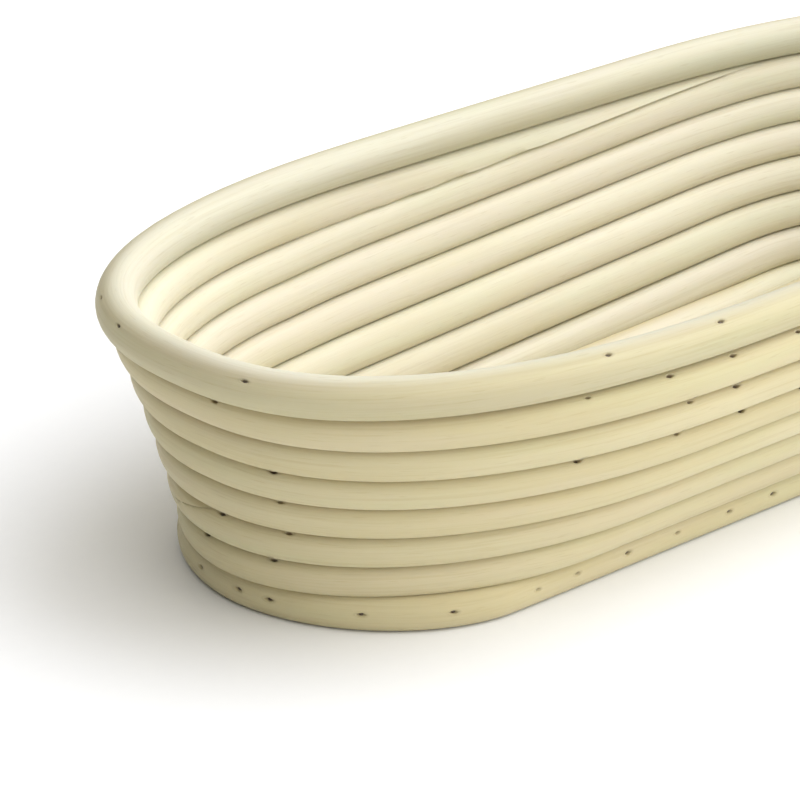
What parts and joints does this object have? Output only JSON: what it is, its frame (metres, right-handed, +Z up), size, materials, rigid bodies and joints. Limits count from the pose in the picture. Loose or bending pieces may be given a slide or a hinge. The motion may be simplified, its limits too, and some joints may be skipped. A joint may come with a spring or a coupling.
{
  "type": "banneton basket",
  "caption": "Long oval proofing basket with flared walls, coiled from round rattan cane and pinned with small wire nails, open at the top with a thicker rim.",
  "frame": {"origin": "on the table, under the middle of the basket's floor", "axes": "+Z up, +X along the basket, +Y towards the back wall, where each course of cane steps up to the next"},
  "size_m": [0.3934, 0.15, 0.0775],
  "materials": {
    "rattan_cane": "bare, satin",
    "rattan_rim": "bare, satin",
    "nail_steel": "dull wire"
  },
  "bodies": {
    "root": {"floor_cane": "rattan_cane", "lower_wall_cane": "rattan_cane", "middle_wall_cane": "rattan_cane", "upper_wall_cane": "rattan_cane", "rim_cane": "rattan_rim", "floor_nail_1": "nail_steel", "floor_nail_10": "nail_steel", "floor_nail_11": "nail_steel", "floor_nail_12": "nail_steel", "floor_nail_13": "nail_steel", "floor_nail_14": "nail_steel", "floor_nail_15": "nail_steel", "floor_nail_16": "nail_steel", "floor_nail_17": "nail_steel", "floor_nail_18": "nail_steel", "floor_nail_19": "nail_steel", "floor_nail_2": "nail_steel", "floor_nail_20": "nail_steel", "floor_nail_3": "nail_steel", "floor_nail_4": "nail_steel", "floor_nail_5": "nail_steel", "floor_nail_6": "nail_steel", "floor_nail_7": "nail_steel", "floor_nail_8": "nail_steel", "floor_nail_9": "nail_steel", "rim_nail_1": "nail_steel", "rim_nail_2": "nail_steel", "rim_nail_3": "nail_steel", "rim_nail_4": "nail_steel", "rim_nail_5": "nail_steel", "rim_nail_6": "nail_steel", "wall_nail_1_1": "nail_steel", "wall_nail_1_2": "nail_steel", "wall_nail_1_3": "nail_steel", "wall_nail_1_4": "nail_steel", "wall_nail_2_1": "nail_steel", "wall_nail_2_2": "nail_steel", "wall_nail_2_3": "nail_steel", "wall_nail_2_4": "nail_steel", "wall_nail_3_1": "nail_steel", "wall_nail_3_2": "nail_steel", "wall_nail_3_3": "nail_steel", "wall_nail_4_1": "nail_steel", "wall_nail_4_2": "nail_steel", "wall_nail_4_3": "nail_steel", "wall_nail_4_4": "nail_steel", "wall_nail_5_1": "nail_steel", "wall_nail_5_2": "nail_steel", "wall_nail_5_3": "nail_steel", "wall_nail_6_1": "nail_steel", "wall_nail_6_2": "nail_steel", "wall_nail_6_3": "nail_steel", "wall_nail_6_4": "nail_steel"}
  },
  "joints": []
}
